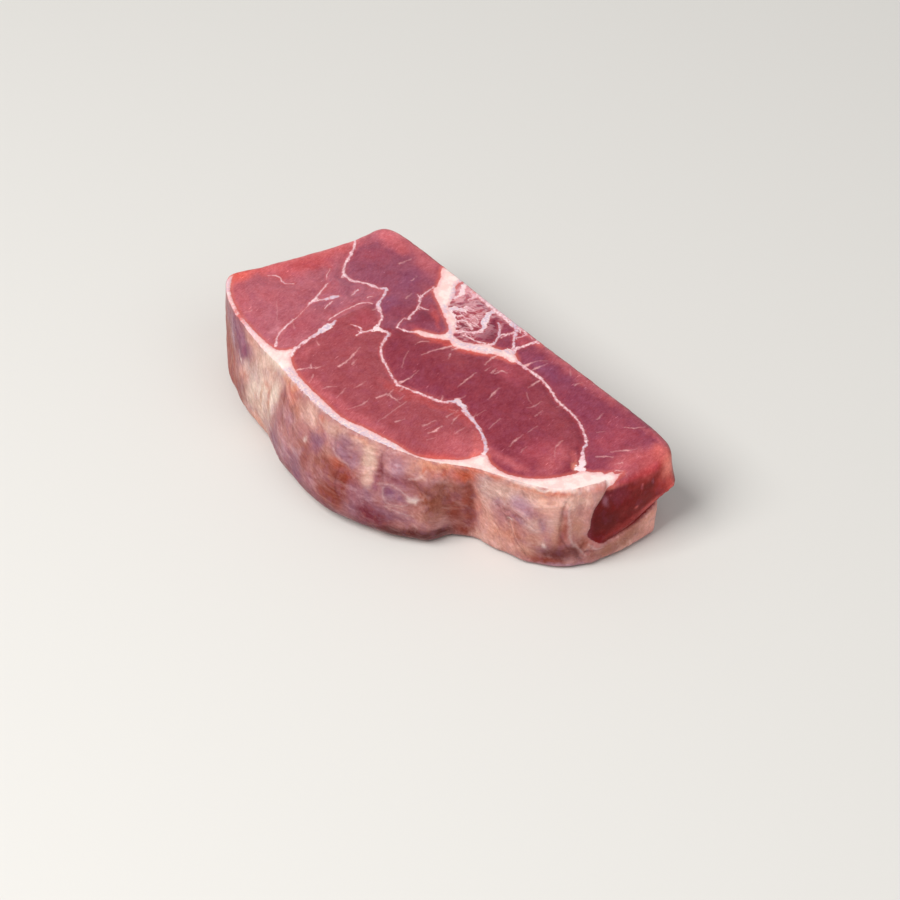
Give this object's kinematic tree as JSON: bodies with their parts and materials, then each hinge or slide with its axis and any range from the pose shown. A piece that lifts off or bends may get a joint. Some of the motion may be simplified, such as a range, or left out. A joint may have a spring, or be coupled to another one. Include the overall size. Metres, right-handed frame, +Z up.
{
  "type": "beef shank slice",
  "caption": "Raw boneless beef shank slice lying flat: cut muscles with white seams of fat and gristle, one long side in its skin.",
  "frame": {"origin": "under the middle of the slice, on the surface that it lies on", "axes": "+X along the slice towards its narrow end, +Y across it towards the long straight cut, +Z up through its thickness"},
  "size_m": [0.1846, 0.0974, 0.0368],
  "materials": {
    "meat": "moist raw beef with white fat, a little shiny"
  },
  "bodies": {
    "root": {"beef_shank": "meat"}
  },
  "joints": []
}
